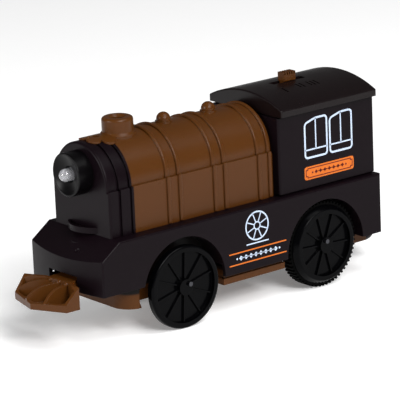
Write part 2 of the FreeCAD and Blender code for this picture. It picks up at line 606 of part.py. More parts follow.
roof_block = rounded("roof_rounded", roof_block, 0.6, roof_corner)
roof_room = common("roof_room",
                   box("roof_room_plan", (roof_rear + 2.0, -D.roof_half + 3.6, 60),
                       (roof_front - 2.0, D.roof_half - 3.6, 90)),
                   rod("roof_room_bow", D.roof_radius - D.roof_skin, 80,
                       (roof_rear - 5, 0, roof_axis), ALONG_X))
neck = box("roof_neck", (roof_rear + 1.0, -D.cab_half + 1.0, D.cab_top),
           (roof_front - 0.6, D.cab_half - 1.0, D.fascia + 0.5))
spigot = box("roof_spigot", (roof_rear + D.cab_wall + 0.1, -D.cab_half + D.cab_wall + 0.1, 70.2),
             (D.cab_front - D.cab_wall - 0.1, D.cab_half - D.cab_wall - 0.1, D.fascia))
spigot_room = box("roof_spigot_room", (roof_rear + 3.0, -D.cab_half + 3.0, 60),
                  (D.cab_front - 3.0, D.cab_half - 3.0, D.fascia + 1))
slot_half = D.slot_length * 0.5
roof_posts = []
roof_cuts = [box("roof_slot", (D.switch_x - slot_half, D.slot_width * -0.5, 70),
                 (D.switch_x + slot_half, D.slot_width * 0.5, 90))]
SWITCH_SCREWS = (-31.6, -57.2)
for i, x in enumerate(SWITCH_SCREWS):
    roof_posts.append(rod("roof_post_%d" % i, 2.3, 4, (x, 0, 76.1)))
    roof_cuts.append(rod("roof_post_bore_%d" % i, 0.85, 4, (x, 0, 75)))
# shallow raised-bar marks beside the slot: one, two and three strokes
STROKES = ((-35.4, 9.3), (-43.3, 8.0), (-45.1, 8.2), (-48.6, 8.3), (-50.4, 8.4), (-52.2, 8.5))
for i, (x, y) in enumerate(STROKES):
    drop = roof_axis.value + math.sqrt(D.roof_radius.value ** 2 - y * y) - 0.45
    roof_cuts.append(turned_box("roof_stroke_%d" % i, (-0.35, -2.2, 0), (0.35, 2.2, 3),
                                (x, y, drop), FreeCAD.Rotation(FreeCAD.Vector(1, 0, 0), -9.5)))
roof = cut("roof_shell", fuse("roof_solid", [roof_block, neck, spigot]), [roof_room, spigot_room])
finish(cut("cab_roof", fuse("roof_posted", [roof] + roof_posts), roof_cuts), "cab_roof")

# ------------------------------------------------------------------------ switch
knob_low = D.roof_crest + 0.15
half_l = D.knob_length * 0.5
half_w = D.knob_width * 0.5
slider = [box("knob", (D.switch_x - half_l, -half_w, knob_low),
              (D.switch_x + half_l, half_w, D.roof_crest + D.knob_height)),
          box("slider_stem", (D.switch_x - half_l + 0.3, -1.3, 77.4),
              (D.switch_x + half_l - 0.3, 1.3, knob_low + 0.2)),
          box("slider_plate", (D.switch_x - 6, -3.2, 77.2), (D.switch_x + 6, 3.2, 78.5))]
grooves = []
for i in range(5):
    x = D.switch_x - half_l + 0.6 + i * 1.2
    grooves.append(box("knob_groove_%d" % i, (x - 0.28, -5, D.roof_crest + D.knob_height - 1.1),
                       (x + 0.28, 5, 90)))
finish(cut("switch_slider", fuse("slider_solid", slider), grooves), "switch_slider")
switch = [box("switch_case", (-54.7, -5, 71.6), (-34.1, 5, 76.9)),
          box("switch_ears", (-59.6, -2.6, 74.4), (-29.2, 2.6, 76.0))]
switch_cuts = [box("switch_room", (-53.8, -3.8, 72.8), (-35.0, 3.8, 80)),
               rod("switch_hole_a", 1.0, 5, (SWITCH_SCREWS[0], 0, 73)),
               rod("switch_hole_b", 1.0, 5, (SWITCH_SCREWS[1], 0, 73))]
finish(cut("switch_box", fuse("switch_solid", switch), switch_cuts), "switch_box")
wiper = [box("wiper_strip", (D.switch_x - 3, -2.4, 76.7), (D.switch_x + 3, 2.4, 77.1)),
         box("wiper_leg", (D.switch_x - 0.6, -1.0, 73.9), (D.switch_x + 0.6, 1.0, 76.8))]
finish(fuse("switch_wiper", wiper), "switch_wiper")
pads = [box("switch_pad_%d" % i, (x - 1.6, -2.4, 72.85), (x + 1.6, 2.4, 73.6))
        for i, x in enumerate((-50.4, -44.4, -38.4))]
finish(fuse("switch_contacts", pads), "switch_contacts")
finish(fuse("switch_screws", [screw("switch_screw_%d" % i, 1.7, 1.1, 0.8, 4.6, (x, 0, 73.25))
                              for i, x in enumerate(SWITCH_SCREWS)]), "switch_screws")

# ------------------------------------------------------------------- cow-catcher
bottom = D.pilot_bottom
high = D.pilot_top


def pilot_ring(inset, tip_inset, rear_inset):
    """The pilot's plan, drawn in from its outer faces; u forward, v to the left."""
    left = [(D.hub_u + rear_inset, D.tongue_half + 0.3 - inset * 0.5),
            (D.pilot_back_u + rear_inset, D.pilot_back_v - inset),
            (D.pilot_side_u - inset * 0.4, D.pilot_side_v - inset)]
    right = [(u, -v) for u, v in left]
    return right + [(D.pilot_tip - tip_inset, Size(0))] + left[::-1]


apron = outline("pilot_plan", "XY_Plane", pilot_ring(0, 0, 0), high + 1 - bottom, bottom)
slopes = across("pilot_slopes", [(D.hub_u - 1, high + 0.85), (D.pilot_back_u, high + 0.85),
                                 (D.pilot_side_u, 19.64), (D.pilot_tip + 1, 18.9),
                                 (D.pilot_tip + 1, 10), (D.hub_u - 1, 10)], Size(30))
wedge = common("pilot_wedge", apron, slopes)
pocket = outline("pilot_pocket", "XY_Plane", pilot_ring(1.4, 1.7, 1.2), 20, bottom + 1.2)
wedge = cut("pilot_bowl", wedge, [pocket])
ribs = []
# each fan bar runs from its root by the tongue to its foot at the rim, (u, v) and foot height
FAN = (((13.0, -2.4), (20.6, -14.2), 20.6), ((13.2, 2.2), (26.4, -4.2), 19.3),
       ((13.6, 6.4), (25.2, 5.4), 19.3))
for i, ((near_u, near_v), (foot_u, foot_v), foot) in enumerate(FAN):
    run = math.hypot(foot_u - near_u, foot_v - near_v)
    crest = []
    for k in range(11):
        t = k / 10.0
        crest.append((run * t, 24.5 - (24.5 - foot) * t ** 3.2))
    bar = outline("pilot_bar_%d" % i, "XZ_Plane",
                  crest + [(run, bottom.value), (0, bottom.value)], 1.4, -0.7)
    bead = ball("pilot_bead_%d" % i, 0.95, (0.7, 0, 24.5))
    bar = fuse("pilot_rib_%d" % i, [bar, bead])
    heading = math.degrees(math.atan2(foot_v - near_v, foot_u - near_u))
    bar.Placement = FreeCAD.Placement(FreeCAD.Vector(near_u, near_v, 0),
                                      FreeCAD.Rotation(FreeCAD.Vector(0, 0, 1), heading))
    ribs.append(bar)
rib_zone = common("pilot_ribs", fuse("pilot_fan", ribs),
                  outline("pilot_rib_plan", "XY_Plane", pilot_ring(0, 0, 0), 12, bottom))
tongue = [box("tongue", (0, -D.tongue_half, D.tongue_bottom),
              (D.hub_u + 0.8, D.tongue_half, D.tongue_top)),
          rod("tongue_eye", D.tongue_half, D.tongue_top - D.tongue_bottom,
              (0, 0, D.tongue_bottom))]
pilot = cut("pilot", fuse("pilot_solid", [wedge, rib_zone] + tongue),
            [rod("tongue_bore", D.pivot_radius + D.running_gap, 12, (0, 0, 18))])
doc.recompute()
pilot.Placement = FreeCAD.Placement(FreeCAD.Vector(0, 0, 0),
                                    FreeCAD.Rotation(FreeCAD.Vector(0, 0, 1), 6.4))
pilot.setExpression("Placement.Base.x", D.pivot_x.formula)
finish(pilot, "pilot")
finish(screw("pilot_screw", 3.2, 1.3, 0.8, 9.0, (D.pivot_x, 0, D.tongue_bottom - 1.5)),
       "pilot_screw")

# ------------------------------------------------------------------------ wheels


def fins(name, count, first, near, reach, low_y, high_y):
    """Thin radial fins in a wheel's dished face, in the wheel's own plane."""
    made = []
    for i in range(count):
        turn = FreeCAD.Rotation(FreeCAD.Vector(0, -1, 0), first + 360.0 * i / count)
        made.append(turned_box("%s_%d" % (name, i), (near, low_y, D.fin_width * -0.5),
                               (reach, high_y, D.fin_width * 0.5), (0, 0, 0), turn))
    return made


def wheel(name, rear, sign, crank):
    """A dished wheel made for the left side; a right one is turned about X."""
    face = D.wheel_face
    dish = 12.6 if rear else 14.0
    floor_y = face - D.dish_depth
    key = name.replace("wheel", "w")
    if rear:
        base = fuse(key + "_solid", [
            rod(key + "_seat", D.tyre_bore, 6, (0, 14.9, 0), ALONG_Y),
            cone(key + "_cone", 15.9, 14.4, face - 20.6, (0, 20.6, 0), ALONG_Y)])
    else:
        base = rod(key + "_tread", D.front_radius, face - D.wheel_back,
                   (0, D.wheel_back, 0), ALONG_Y)
    base = rounded(key + "_rounded", base, 0.45 if rear else 0.9,
                   lambda e: all(abs(v.Point.y - D.wheel_face.value) < 0.01 for v in e.Vertexes))
    hollow_back = 12.9 if rear else 14.3
    base = cut(key + "_dished", base, [
        rod(key + "_dish", dish, 8, (0, floor_y, 0), ALONG_Y),
        rod(key + "_back", hollow_back, floor_y - 2.0, (0, 0, 0), ALONG_Y)])
    hub_back = 12.3 if rear else 12.0
    hub = [rod(key + "_boss", D.boss_radius, 2.1, (0, floor_y - 0.2, 0), ALONG_Y),
           rod(key + "_hub", 3.4, floor_y - hub_back - 1.0, (0, hub_back, 0), ALONG_Y)]
    spread = fins(key + "_fin", 10, sign * (3.0 if rear else 22.0), 2.8, dish + 0.3,
                  floor_y - 0.3, floor_y + 0.8)
    angle = math.radians(sign * crank)
    pin_x = D.crank_throw * math.cos(angle)
    pin_z = D.crank_throw * math.sin(angle)
    solid = cut(name, fuse(key + "_full", [base] + hub + spread), [
        rod(key + "_bore", D.axle_radius, 20.0 - hub_back + 1, (0, hub_back - 1, 0), ALONG_Y),
        rod(key + "_pin_bore", D.crank_radius, 6, (pin_x, 20.3, pin_z), ALONG_Y)])
    turn = UPRIGHT if sign > 0 else FreeCAD.Rotation(FreeCAD.Vector(1, 0, 0), 180)
    x, z = (D.rear_axle, D.rear_level) if rear else (D.front_axle, D.front_radius)
    return finish(place(solid, (x, 0, z), turn), name)


def crank_pins(name, x, z, crank):
    """One pin in each wheel of a pair."""
    angle = math.radians(crank)
    pins = []
    for side, sign in SIDES:
        start = 20.4 if sign > 0 else -D.crank_end
        pins.append(rod(name + "_" + side, D.crank_radius, D.crank_end - 20.4,
                        (x + D.crank_throw * math.cos(angle), start,
                         z + D.crank_throw * math.sin(angle)), ALONG_Y))
    return finish(fuse(name, pins), name)


for side, sign in SIDES:
    wheel("front_wheel_" + side, False, sign, 142.0)
    wheel("rear_wheel_" + side, True, sign, 77.0)
crank_pins("front_crank_pins", D.front_axle, D.front_radius, 142.0)
crank_pins("rear_crank_pins", D.rear_axle, D.rear_level, 77.0)
for end, x, z in (("front", D.front_axle, D.front_radius), ("rear", D.rear_axle, D.rear_level)):
    finish(rod(end + "_axle", D.axle_radius, 40, (x, -20, z), ALONG_Y), end + "_axle")

TREAD = 60
for side, sign in SIDES:
    points = []
    for i in range(TREAD):
        for offset, radius in ((-0.30, D.tyre_root), (-0.20, D.tyre_radius),
                               (0.20, D.tyre_radius), (0.30, D.tyre_root)):
            turn = math.radians(90 + (i + offset) * 360.0 / TREAD)
            points.append((radius.value * math.cos(turn), radius.value * math.sin(turn)))
    width = D.tyre_outer - D.tyre_inner
    start = -D.tyre_outer if sign > 0 else D.tyre_inner
    ring = outline("tread_" + side, "XZ_Plane", points, width, start)
    tyre = cut("rear_tyre_" + side, ring,
               [rod("tyre_bore_" + side, D.tyre_bore, 60, (0, -30, 0), ALONG_Y)])
    finish(place(tyre, (D.rear_axle, 0, D.rear_level)), "rear_tyre_" + side)

# --------------------------------------------------------------------- gear train


def flank(teeth, module, radius):
    """Half angle of one tooth at a radius, as a rack cutter would leave it."""
    pitch = module * teeth / 2.0
    slack = 0.045
    widest = 0.0
    for k in range(-120, 121):
        roll = k * 0.012
        steps = 60
        for j in range(steps):
            half = j * math.pi / teeth / steps
            turn = half + roll
            y = radius * math.cos(turn)
            x = radius * math.sin(turn) - pitch * roll
            reach = math.pi * module / 4 + slack + (y - pitch) * math.tan(math.radians(20))
            if y >= pitch - 1.25 * module and abs(x) <= reach:
                widest = max(widest, half)
    return max(math.pi / teeth - widest, 0.0)


def tooth_outline(teeth, module, first):
    """Closed outline of an involute gear; the first tooth points at an angle."""
    pitch = module * teeth / 2.0
    root = pitch - 1.2 * module
    tip = pitch + 0.9 * module
    radii = [root + 0.12 + (tip - root - 0.12) * k / 4.0 for k in range(5)]
    halves = [flank(teeth, module, radius) for radius in radii]
    points = []
    for i in range(teeth):
        middle = math.radians(first) + 2 * math.pi * i / teeth
        for radius, half in list(zip(radii, halves)):
            points.append((radius * math.cos(middle - half), radius * math.sin(middle - half)))
        for radius, half in reversed(list(zip(radii, halves))):
            points.append((radius * math.cos(middle + half), radius * math.sin(middle + half)))
        between = middle + math.pi / teeth
        points.append((root * math.cos(between), root * math.sin(between)))
    return points


def gear(name, teeth, first, low_y, high_y):
    """A spur gear about its own axle, between two planes across the loco."""
    points = tooth_outline(teeth, D.gear_module.value, first)
    return outline(name, "XZ_Plane", points, high_y - low_y, -high_y)


big = int(DIMENSIONS["wheel_teeth"])
small = int(DIMENSIONS["pinion_teeth"])
half_pinion = 180.0 / small
half_wheel = 180.0 / big
axle_z = D.rear_level
second_z = axle_z + D.gear_pitch
first_z = second_z + D.gear_pitch
motor_z = first_z + D.gear_pitch
axle_gear = cut("axle_gear", gear("axle_teeth", big, 90.0, -10.5, -8.7),
                [rod("axle_gear_bore", D.axle_radius, 20, (0, -20, 0), ALONG_Y)])
finish(place(axle_gear, (D.rear_axle, 0, axle_z)), "axle_gear")
bore = D.pin_radius + 0.05
second = fuse("second_solid", [gear("second_pinion", small, -90.0 + half_pinion, -10.55, -8.0),
                               gear("second_teeth", big, 90.0, -8.0, -6.2),
                               rod("second_hub", 1.2, 2.6, (0, -6.2, 0), ALONG_Y)])
second = cut("second_gear", second, [rod("second_bore", bore, 20, (0, -20, 0), ALONG_Y)])
finish(place(second, (D.rear_axle, 0, second_z)), "second_gear")
first = fuse("first_solid", [gear("first_pinion", small, -90.0 + half_pinion, -8.15, -5.5),
                             gear("first_teeth", big, 90.0, -5.5, -3.7),
                             rod("first_hub", 1.2, 2.4, (0, -10.55, 0), ALONG_Y)])
first = cut("first_gear", first, [rod("first_bore", bore, 20, (0, -20, 0), ALONG_Y)])
finish(place(first, (D.rear_axle, 0, first_z)), "first_gear")
for name, z in (("second_gear_pin", second_z), ("first_gear_pin", first_z)):
    finish(rod(name, D.pin_radius, 9.4, (D.rear_axle, -11.8, z), ALONG_Y), name)
motor_pinion = cut("motor_pinion", gear("motor_teeth", small, -90.0 + half_pinion, -5.6, -3.6),
                   [rod("pinion_bore", D.shaft_radius, 20, (0, -20, 0), ALONG_Y)])
finish(place(motor_pinion, (D.rear_axle, 0, motor_z)), "motor_pinion")


def gearbox_outline(name, half, neck_half, top, neck_top, low_y, high_y):
    """Rounded-bottom housing outline with a neck round the motor pinion."""
    x = D.rear_axle
    return fuse(name, [
        box(name + "_block", (x - half, low_y, axle_z), (x + half, high_y, top)),
        box(name + "_neck", (x - neck_half, low_y, axle_z), (x + neck_half, high_y, neck_top)),
        rod(name + "_sump", half, sized(high_y) - sized(low_y), (x, low_y, axle_z), ALONG_Y)])


for side, lo_y, hi_y in (("right", D.box_right, D.box_split), ("left", D.box_split, D.box_left)):
    name = "gearbox_" + side
    skin = gearbox_outline(name + "_skin", D.box_half, 3.9, 41.1, 45.2, lo_y, hi_y)
    in_lo = lo_y + D.box_wall if side == "right" else lo_y
    in_hi = hi_y if side == "right" else hi_y - D.box_wall
    room = gearbox_outline(name + "_room", D.gear_room, 3.0, 40.2, 44.3, in_lo, in_hi)
    ears = []
    drills = [rod(name + "_axle_hole", gap, 20, (D.rear_axle, -15, axle_z), ALONG_Y)]
    mid_y = -4.7 if side == "left" else -9.5
    for i, (ear_lo, ear_hi, hole_x) in enumerate(((box_high_x - 0.4, Size(-31.6), -33.2),
                                                  (Size(-54.2), box_low_x + 0.4, -52.6))):
        ears.append(box("%s_ear_%d" % (name, i), (ear_lo, lo_y, top_face), (ear_hi, hi_y, 21.8)))
        drills.append(rod("%s_ear_hole_%d" % (name, i), 1.0, 6, (hole_x, mid_y, 18)))
    for i, z in enumerate((second_z, first_z)):
        drills.append(rod("%s_pin_hole_%d" % (name, i), D.pin_radius, 20,
                          (D.rear_axle, -15, z), ALONG_Y))
    if side == "left":
        drills.append(rod(name + "_motor_hole", 2.5, 6, (D.rear_axle, -3.5, motor_z), ALONG_Y))
    shape = cut(name + "_hollow", fuse(name + "_eared", [skin] + ears), [room])
    finish(cut(name, shape, drills), name)
flip = FreeCAD.Rotation(FreeCAD.Vector(1, 0, 0), 180)
finish(fuse("gearbox_screws", [screw("gearbox_screw_%d" % i, 1.6, 1.0, 0.8, 5.0, (x, y, 22.8), flip)
                               for i, (x, y) in enumerate(EARS)]), "gearbox_screws")

# -------------------------------------------------------------------------- motor


def flatted(name, radius, flat, low_y, high_y):
    """A round can with two flats, along the loco's width."""
    length = sized(high_y) - sized(low_y)
    return common(name, rod(name + "_round", radius, length, (D.rear_axle, low_y, motor_z), ALONG_Y),
                  box(name + "_flats", (D.rear_axle - 10, low_y, motor_z - flat),
                      (D.rear_axle + 10, high_y, motor_z + flat)))


can = cut("motor_can_hollow", flatted("motor_can_skin", D.motor_radius, D.motor_flat, -2.3, 9.7),
          [flatted("motor_can_room", D.motor_radius - 0.8, D.motor_flat - 0.8, -1.5, 12)])
can = cut("motor_can", fuse("motor_can_boss", [
    can, rod("motor_nose", 2.4, 0.9, (D.rear_axle, -3.1, motor_z), ALONG_Y)]),
    [rod("motor_nose_bore", D.shaft_radius + 0.05, 6, (D.rear_axle, -5, motor_z), ALONG_Y)])
finish(can, "motor_can")
magnets = []
for i, (lo, hi) in enumerate(((-10, -2.6), (2.6, 10))):
    ring = cut("magnet_ring_%d" % i, flatted("magnet_skin_%d" % i, 5.15, 4.15, 0.5, 8.3),
               [rod("magnet_bore_%d" % i, 3.95, 20, (D.rear_axle, -5, motor_z), ALONG_Y)])
    magnets.append(common("magnet_%d" % i, ring,
                          box("magnet_zone_%d" % i, (D.rear_axle + lo, -2, 20),
                              (D.rear_axle + hi, 12, 60))))
finish(fuse("motor_magnets", magnets), "motor_magnets")
end_cap = fuse("end_cap_solid", [flatted("end_cap_plate", D.motor_radius, D.motor_flat, 9.7, 12.3),
                                 rod("end_cap_boss", 2.2, 1.2, (D.rear_axle, 12.2, motor_z), ALONG_Y)])
terminals = [box("terminal_%d" % i, (D.rear_axle + x - 0.9, 10.6, motor_z + 4.9),
                 (D.rear_axle + x + 0.9, 11.1, motor_z + 8.2)) for i, x in enumerate((-2.6, 2.6))]
end_cap = cut("motor_end_cap", end_cap, [
    rod("end_cap_bore", D.shaft_radius + 0.05, 10, (D.rear_axle, 8, motor_z), ALONG_Y),
    rod("end_cap_room", 4.6, 1.4, (D.rear_axle, 9, motor_z), ALONG_Y)])
finish(end_cap, "motor_end_cap")
finish(fuse("motor_terminals", [
    box("terminal_%d_leg" % i, (D.rear_axle + x - 0.9, 10.7, motor_z + 5.0),
        (D.rear_axle + x + 0.9, 11.2, motor_z + 8.0)) for i, x in enumerate((-2.2, 2.2))]),
    "motor_terminals")
finish(rod("motor_shaft", D.shaft_radius, 18.7, (D.rear_axle, -5.8, motor_z), ALONG_Y),
       "motor_shaft")
rotor_slots = []
for i in range(3):
    turn = FreeCAD.Rotation(FreeCAD.Vector(0, -1, 0), 30 + 120 * i)
    rotor_slots.append(turned_box("rotor_slot_%d" % i, (2.0, -1, -0.5), (9, 12, 0.5),
                                  (D.rear_axle, 0, motor_z), turn))
rotor = cut("rotor_core", rod("rotor_stack", 3.6, 6.6, (D.rear_axle, 1.0, motor_z), ALONG_Y),
            rotor_slots)
rotor = cut("motor_rotor", fuse("rotor_solid", [
    rotor, rod("commutator", 1.5, 2.2, (D.rear_axle, 7.5, motor_z), ALONG_Y)]),
    [rod("rotor_bore", D.shaft_radius, 30, (D.rear_axle, -5, motor_z), ALONG_Y)])
finish(rotor, "motor_rotor")

# ------------------------------------------------------------------------ battery
cell = [rod("cell_can", D.cell_radius, D.cell_front - D.cell_rear - 1.2,
            (D.cell_rear + 1.2, 0, D.cell_level), ALONG_X),
        rod("cell_nub", 2.7, 1.3, (D.cell_rear, 0, D.cell_level), ALONG_X)]
cell = rounded("cell_rounded", fuse("cell_solid", cell), 0.5,
               lambda e: e.BoundBox.DiagonalLength > 18 and e.BoundBox.XLength < 0.01)
finish(cell, "battery_cell")
finish(fuse("battery_contact", [
    box("contact_plate", (D.bay_rear + 0.05, -7.6, 13.6), (D.cell_rear - 0.05, 7.6, 27)),
    box("contact_tab", (D.bay_rear + 0.05, -2, 26.5), (D.cell_rear - 0.05, 2, 30))]),
    "battery_contact")
rings = [box("spring_plate", (D.bay_front - 0.5, -6, 14.2), (D.bay_front - 0.1, 6, 28))]
for i in range(4):
    coil = doc.addObject("Part::Torus", "spring_coil_%d" % i)
    coil.Radius1 = 4.8 - 0.6 * i
    coil.Radius2 = 0.5
    place(coil, (D.bay_front - 0.9 - 0.72 * i, 0, D.cell_level), ALONG_X)
    rings.append(coil)
finish(fuse("battery_spring", rings), "battery_spring")
door = box("door_plate", (D.door_rear, -D.door_half, low),
           (D.door_front, D.door_half, low + D.door_thick))
door_cuts = [rod("door_hole_screw", 1.0, 6, (-31.3, 0, 10)),
             rod("door_sink", 1.9, 6, (-31.3, 0, low - 6 + 0.5))]
for i in range(6):
    door_cuts.append(box("door_grip_%d" % i, (16 + i * 1.2, -5, low - 1),
                         (16.5 + i * 1.2, 5, low + 0.35)))
finish(cut("battery_door", door, door_cuts), "battery_door")
finish(screw("battery_door_screw", 1.7, 1.1, 0.8, 5.2, (-31.3, 0, low - 0.6)),
       "battery_door_screw")

# ------------------------------------------------------------------- rear coupling
hook = [rod("coupling_boss", D.coupling_radius, D.coupling_top - D.coupling_level,
            (D.coupling_x, 0, D.coupling_level)),
        ball("coupling_ball", D.coupling_radius, (D.coupling_x, 0, D.coupling_level)),
        box("coupling_bar", (D.coupling_x, -4.4, low + D.floor), (-65.4, 4.4, D.coupling_top))]
hook = cut("rear_coupling", fuse("coupling_solid", hook), [
    rod("coupling_eye", D.coupling_bore, 20, (D.coupling_x, 0, 0)),
    rod("coupling_screw_hole", 1.1, 10, (-67.4, 0, 10))])
finish(hook, "rear_coupling")
finish(screw("coupling_screw", 2.0, 1.2, 1.0, 4.2, (-67.4, 0, D.coupling_top + 1.2), flip),
       "coupling_screw")

# -------------------------------------------------------------------------- screws
finish(fuse("assembly_screws", [screw("assembly_screw_%d" % i, 2.2, 1.5, 1.1, 12.5, (x, y, 14.0))
                                for i, (x, y) in enumerate(POSTS)]), "assembly_screws")
finish(fuse("body_screws", [screw("body_screw_%d" % i, 2.3, 1.4, 1.1, 10.5,
                                  (x, y, deck_under - 1.4))
                            for i, (x, y) in enumerate(BODY_SCREWS)]), "body_screws")

# ------------------------------------------------------------------------- wiring


def wire(name, points, radius=0.45):
    """A round insulated lead through a list of points, with ball corners."""
    parts = []
    for i, (start, end) in enumerate(zip(points, points[1:])):
        a = FreeCAD.Vector(*start)
        run = FreeCAD.Vector(*end) - a
        piece = doc.addObject("Part::Cylinder", "%s_run_%d" % (name, i))
        piece.Radius = radius
        piece.Height = run.Length
        piece.Placement = FreeCAD.Placement(a, FreeCAD.Rotation(FreeCAD.Vector(0, 0, 1), run))
        parts.append(piece)
        if i:
            parts.append(ball("%s_bend_%d" % (name, i), radius, start))
    return finish(fuse(name, parts), name)


wire("battery_lead", [(-29.05, 0.0, 30.6), (-29.05, 0.0, 34.0), (-31.5, 12.0, 36.0),
                      (-33.9, 13.4, 38.0), (-33.9, 13.4, 60.0), (-36.6, 3.0, 68.0),
                      (-38.0, 0.0, 71.0)])
wire("motor_lead", [(-40.65, 10.95, 50.2), (-40.65, 10.95, 56.0), (-46.0, 3.0, 66.0),
                    (-48.5, 0.0, 71.0)])
wire("return_lead", [(25.1, 3.0, 28.8), (25.1, 3.0, 36.0), (10.0, 9.0, 37.5),
                     (-31.0, 9.0, 37.5), (-34.0, 10.6, 38.4), (-34.2, 11.6, 48.0),
                     (-38.0, 13.9, 52.0), (-44.0, 13.6, 53.0), (-45.05, 10.95, 50.2)])
wire("lamp_lead_plus", [(50.4, 1.27, 63.8), (46.0, 3.0, 62.0), (40.0, 6.0, 50.0),
                        (30.0, 8.0, 46.0), (-18.0, -7.6, 43.5), (-30.0, -7.6, 43.5),
                        (-31.5, -4.0, 60.0), (-40.0, -1.5, 71.0)])
wire("lamp_lead_minus", [(50.4, -1.27, 63.8), (48.0, -2.0, 60.0), (48.6, -2.0, 48.0),
                         (52.3, -1.6, 44.0), (52.3, -1.6, 36.0), (40.0, -1.6, 33.0),
                         (28.0, 1.0, 31.5), (26.2, 1.2, 29.2)])

# ---------------------------------------------------------------------- write files
doc.recompute()
broken = [obj.Name for obj in doc.Objects if "Invalid" in obj.State or "Error" in obj.State]
if broken:
    raise RuntimeError("these did not rebuild: %s" % ", ".join(broken))
unsound = [obj.Label for obj in finished if obj.Shape.isNull() or not obj.Shape.isValid()]
if unsound:
    raise RuntimeError("no sound shape: %s" % ", ".join(unsound))
os.makedirs("parts", exist_ok=True)
for obj in finished:
    obj.Shape.exportStep(os.path.join("parts", obj.Label + ".step"))
    bounds = obj.Shape.BoundBox
    print("%-20s solids %d  volume %9.1f  x %7.2f %7.2f  y %7.2f %7.2f  z %6.2f %6.2f" % (
        obj.Label, len(obj.Shape.Solids), obj.Shape.Volume, bounds.XMin, bounds.XMax,
        bounds.YMin, bounds.YMax, bounds.ZMin, bounds.ZMax))
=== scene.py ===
import json
import math

import bpy
from mathutils import Matrix, Vector


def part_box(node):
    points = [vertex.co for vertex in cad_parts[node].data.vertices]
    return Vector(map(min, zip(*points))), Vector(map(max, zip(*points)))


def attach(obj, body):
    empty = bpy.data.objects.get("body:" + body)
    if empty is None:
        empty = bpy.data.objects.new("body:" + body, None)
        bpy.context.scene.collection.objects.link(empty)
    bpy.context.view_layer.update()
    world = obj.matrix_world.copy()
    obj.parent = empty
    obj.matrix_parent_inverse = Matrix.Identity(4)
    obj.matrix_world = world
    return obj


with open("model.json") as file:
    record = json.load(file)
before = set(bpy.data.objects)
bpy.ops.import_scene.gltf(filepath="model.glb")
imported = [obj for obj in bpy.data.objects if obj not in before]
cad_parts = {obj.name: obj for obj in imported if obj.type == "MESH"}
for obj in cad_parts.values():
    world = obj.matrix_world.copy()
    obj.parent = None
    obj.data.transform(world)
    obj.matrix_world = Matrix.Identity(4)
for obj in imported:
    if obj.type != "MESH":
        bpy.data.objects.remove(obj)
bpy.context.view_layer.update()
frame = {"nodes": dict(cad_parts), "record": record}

MM = 0.001
SIDES = (("left", 1), ("right", -1))

# ---------------------------------------------------------------------- materials
GRAIN_SCALE = 2600.0
GRAIN_DEPTH = 0.02 * MM
SOFT_DEPTH = 1.0 * MM
EDGE_SAMPLES = 4
# colour, cover and fade of the near-black painted shade inside the wheel wells
PAINTED_SHADE = (6, 4, 5)
PAINTED_SHADE_COVER = 0.97
PAINTED_SHADE_FADE = 0.8 * MM


def linear(colour):
    """An sRGB display colour, 0 to 255, as linear light."""
    return tuple((v / 255 / 12.92) if v < 10.3 else ((v / 255 + 0.055) / 1.055) ** 2.4
                 for v in colour)


class Shading:
    """A new material and the shader nodes that feed it, placed by object coordinates."""

    def __init__(self, name):
        self.material = bpy.data.materials.new(name)
        self.material.use_nodes = True
        self.tree = self.material.node_tree
        self.link = self.tree.links.new
        self.shader = self.tree.nodes["Principled BSDF"]
        self.place = self.node("ShaderNodeTexCoord").outputs["Object"]

    def node(self, kind, **values):
        """A new node with some of its inputs set."""
        made = self.tree.nodes.new(kind)
        for key, value in values.items():
            made.inputs[key].default_value = value
        return made

    def noise(self, scale, detail, roughness, distortion=0.0):
        """Cloudy values around one half."""
        made = self.node("ShaderNodeTexNoise", Scale=scale, Detail=detail, Roughness=roughness,
                         Distortion=distortion)
        self.link(self.place, made.inputs["Vector"])
        return made.outputs["Fac"]

    def spread(self, source, from_low, from_high, to_low, to_high):
        """Values between two levels, stretched to reach between two others."""
        made = self.node("ShaderNodeMapRange", **{"From Min": from_low, "From Max": from_high,
                                                  "To Min": to_low, "To Max": to_high})
        self.link(source, made.inputs["Value"])
        return made.outputs["Result"]

    def blend(self, share, first, second):
        """A mix of two colours, each a tuple or another node's output."""
        made = self.tree.nodes.new("ShaderNodeMix")
        made.data_type = "RGBA"
        self.link(share, made.inputs["Factor"])
        for key, value in (("A", first), ("B", second)):
            if isinstance(value, tuple):
                made.inputs[key].default_value = value + (1,)
            else:
                self.link(value, made.inputs[key])
        return made.outputs["Result"]

    def tint(self, colour, vary, wear, wear_colour, shade_above):
        """Mottled colour with fine scuffs, and painted shade above a level if one is given."""
        base = linear(colour)
        mottle = self.noise(scale=55.0, detail=4.0, roughness=0.6)
        tint = self.blend(mottle, tuple(v * (1 - vary) for v in base),
                          tuple(v * (1 + vary) for v in base))
        scuff = self.noise(scale=420.0, detail=6.0, roughness=0.72, distortion=0.6)
        tint = self.blend(self.spread(scuff, 0.56, 0.74, 0.0, wear), tint, linear(wear_colour))
        if shade_above is None:
            return tint
        # painted shade: above the level the colour fades to near black, standing in for shadow
        split = self.node("ShaderNodeSeparateXYZ")
        self.link(self.place, split.inputs["Vector"])
        shade_mask = self.spread(split.outputs["Z"], shade_above, shade_above + PAINTED_SHADE_FADE,
                            0.0, PAINTED_SHADE_COVER)
        return self.blend(shade_mask, tint, linear(PAINTED_SHADE))

    def gloss(self, rough):
        """Roughness that wanders a little around its middle value."""
        streak = self.noise(scale=160.0, detail=5.0, roughness=0.65)
        return self.spread(streak, 0.3, 0.7, rough * 0.88, min(1.0, rough * 1.14))

    def relief(self, grain, edge):
        """Fine grain, on edges that look rounded by a radius in millimetres."""
        bump = self.node("ShaderNodeBump", Strength=grain * 10, Distance=GRAIN_DEPTH)
        texture = self.noise(scale=GRAIN_SCALE, detail=3.0, roughness=0.6)
        self.link(texture, bump.inputs["Height"])
        if edge:
            rounding = self.node("ShaderNodeBevel", Radius=edge * MM)
            rounding.samples = EDGE_SAMPLES
            self.link(rounding.outputs["Normal"], bump.inputs["Normal"])
        return bump.outputs["Normal"]


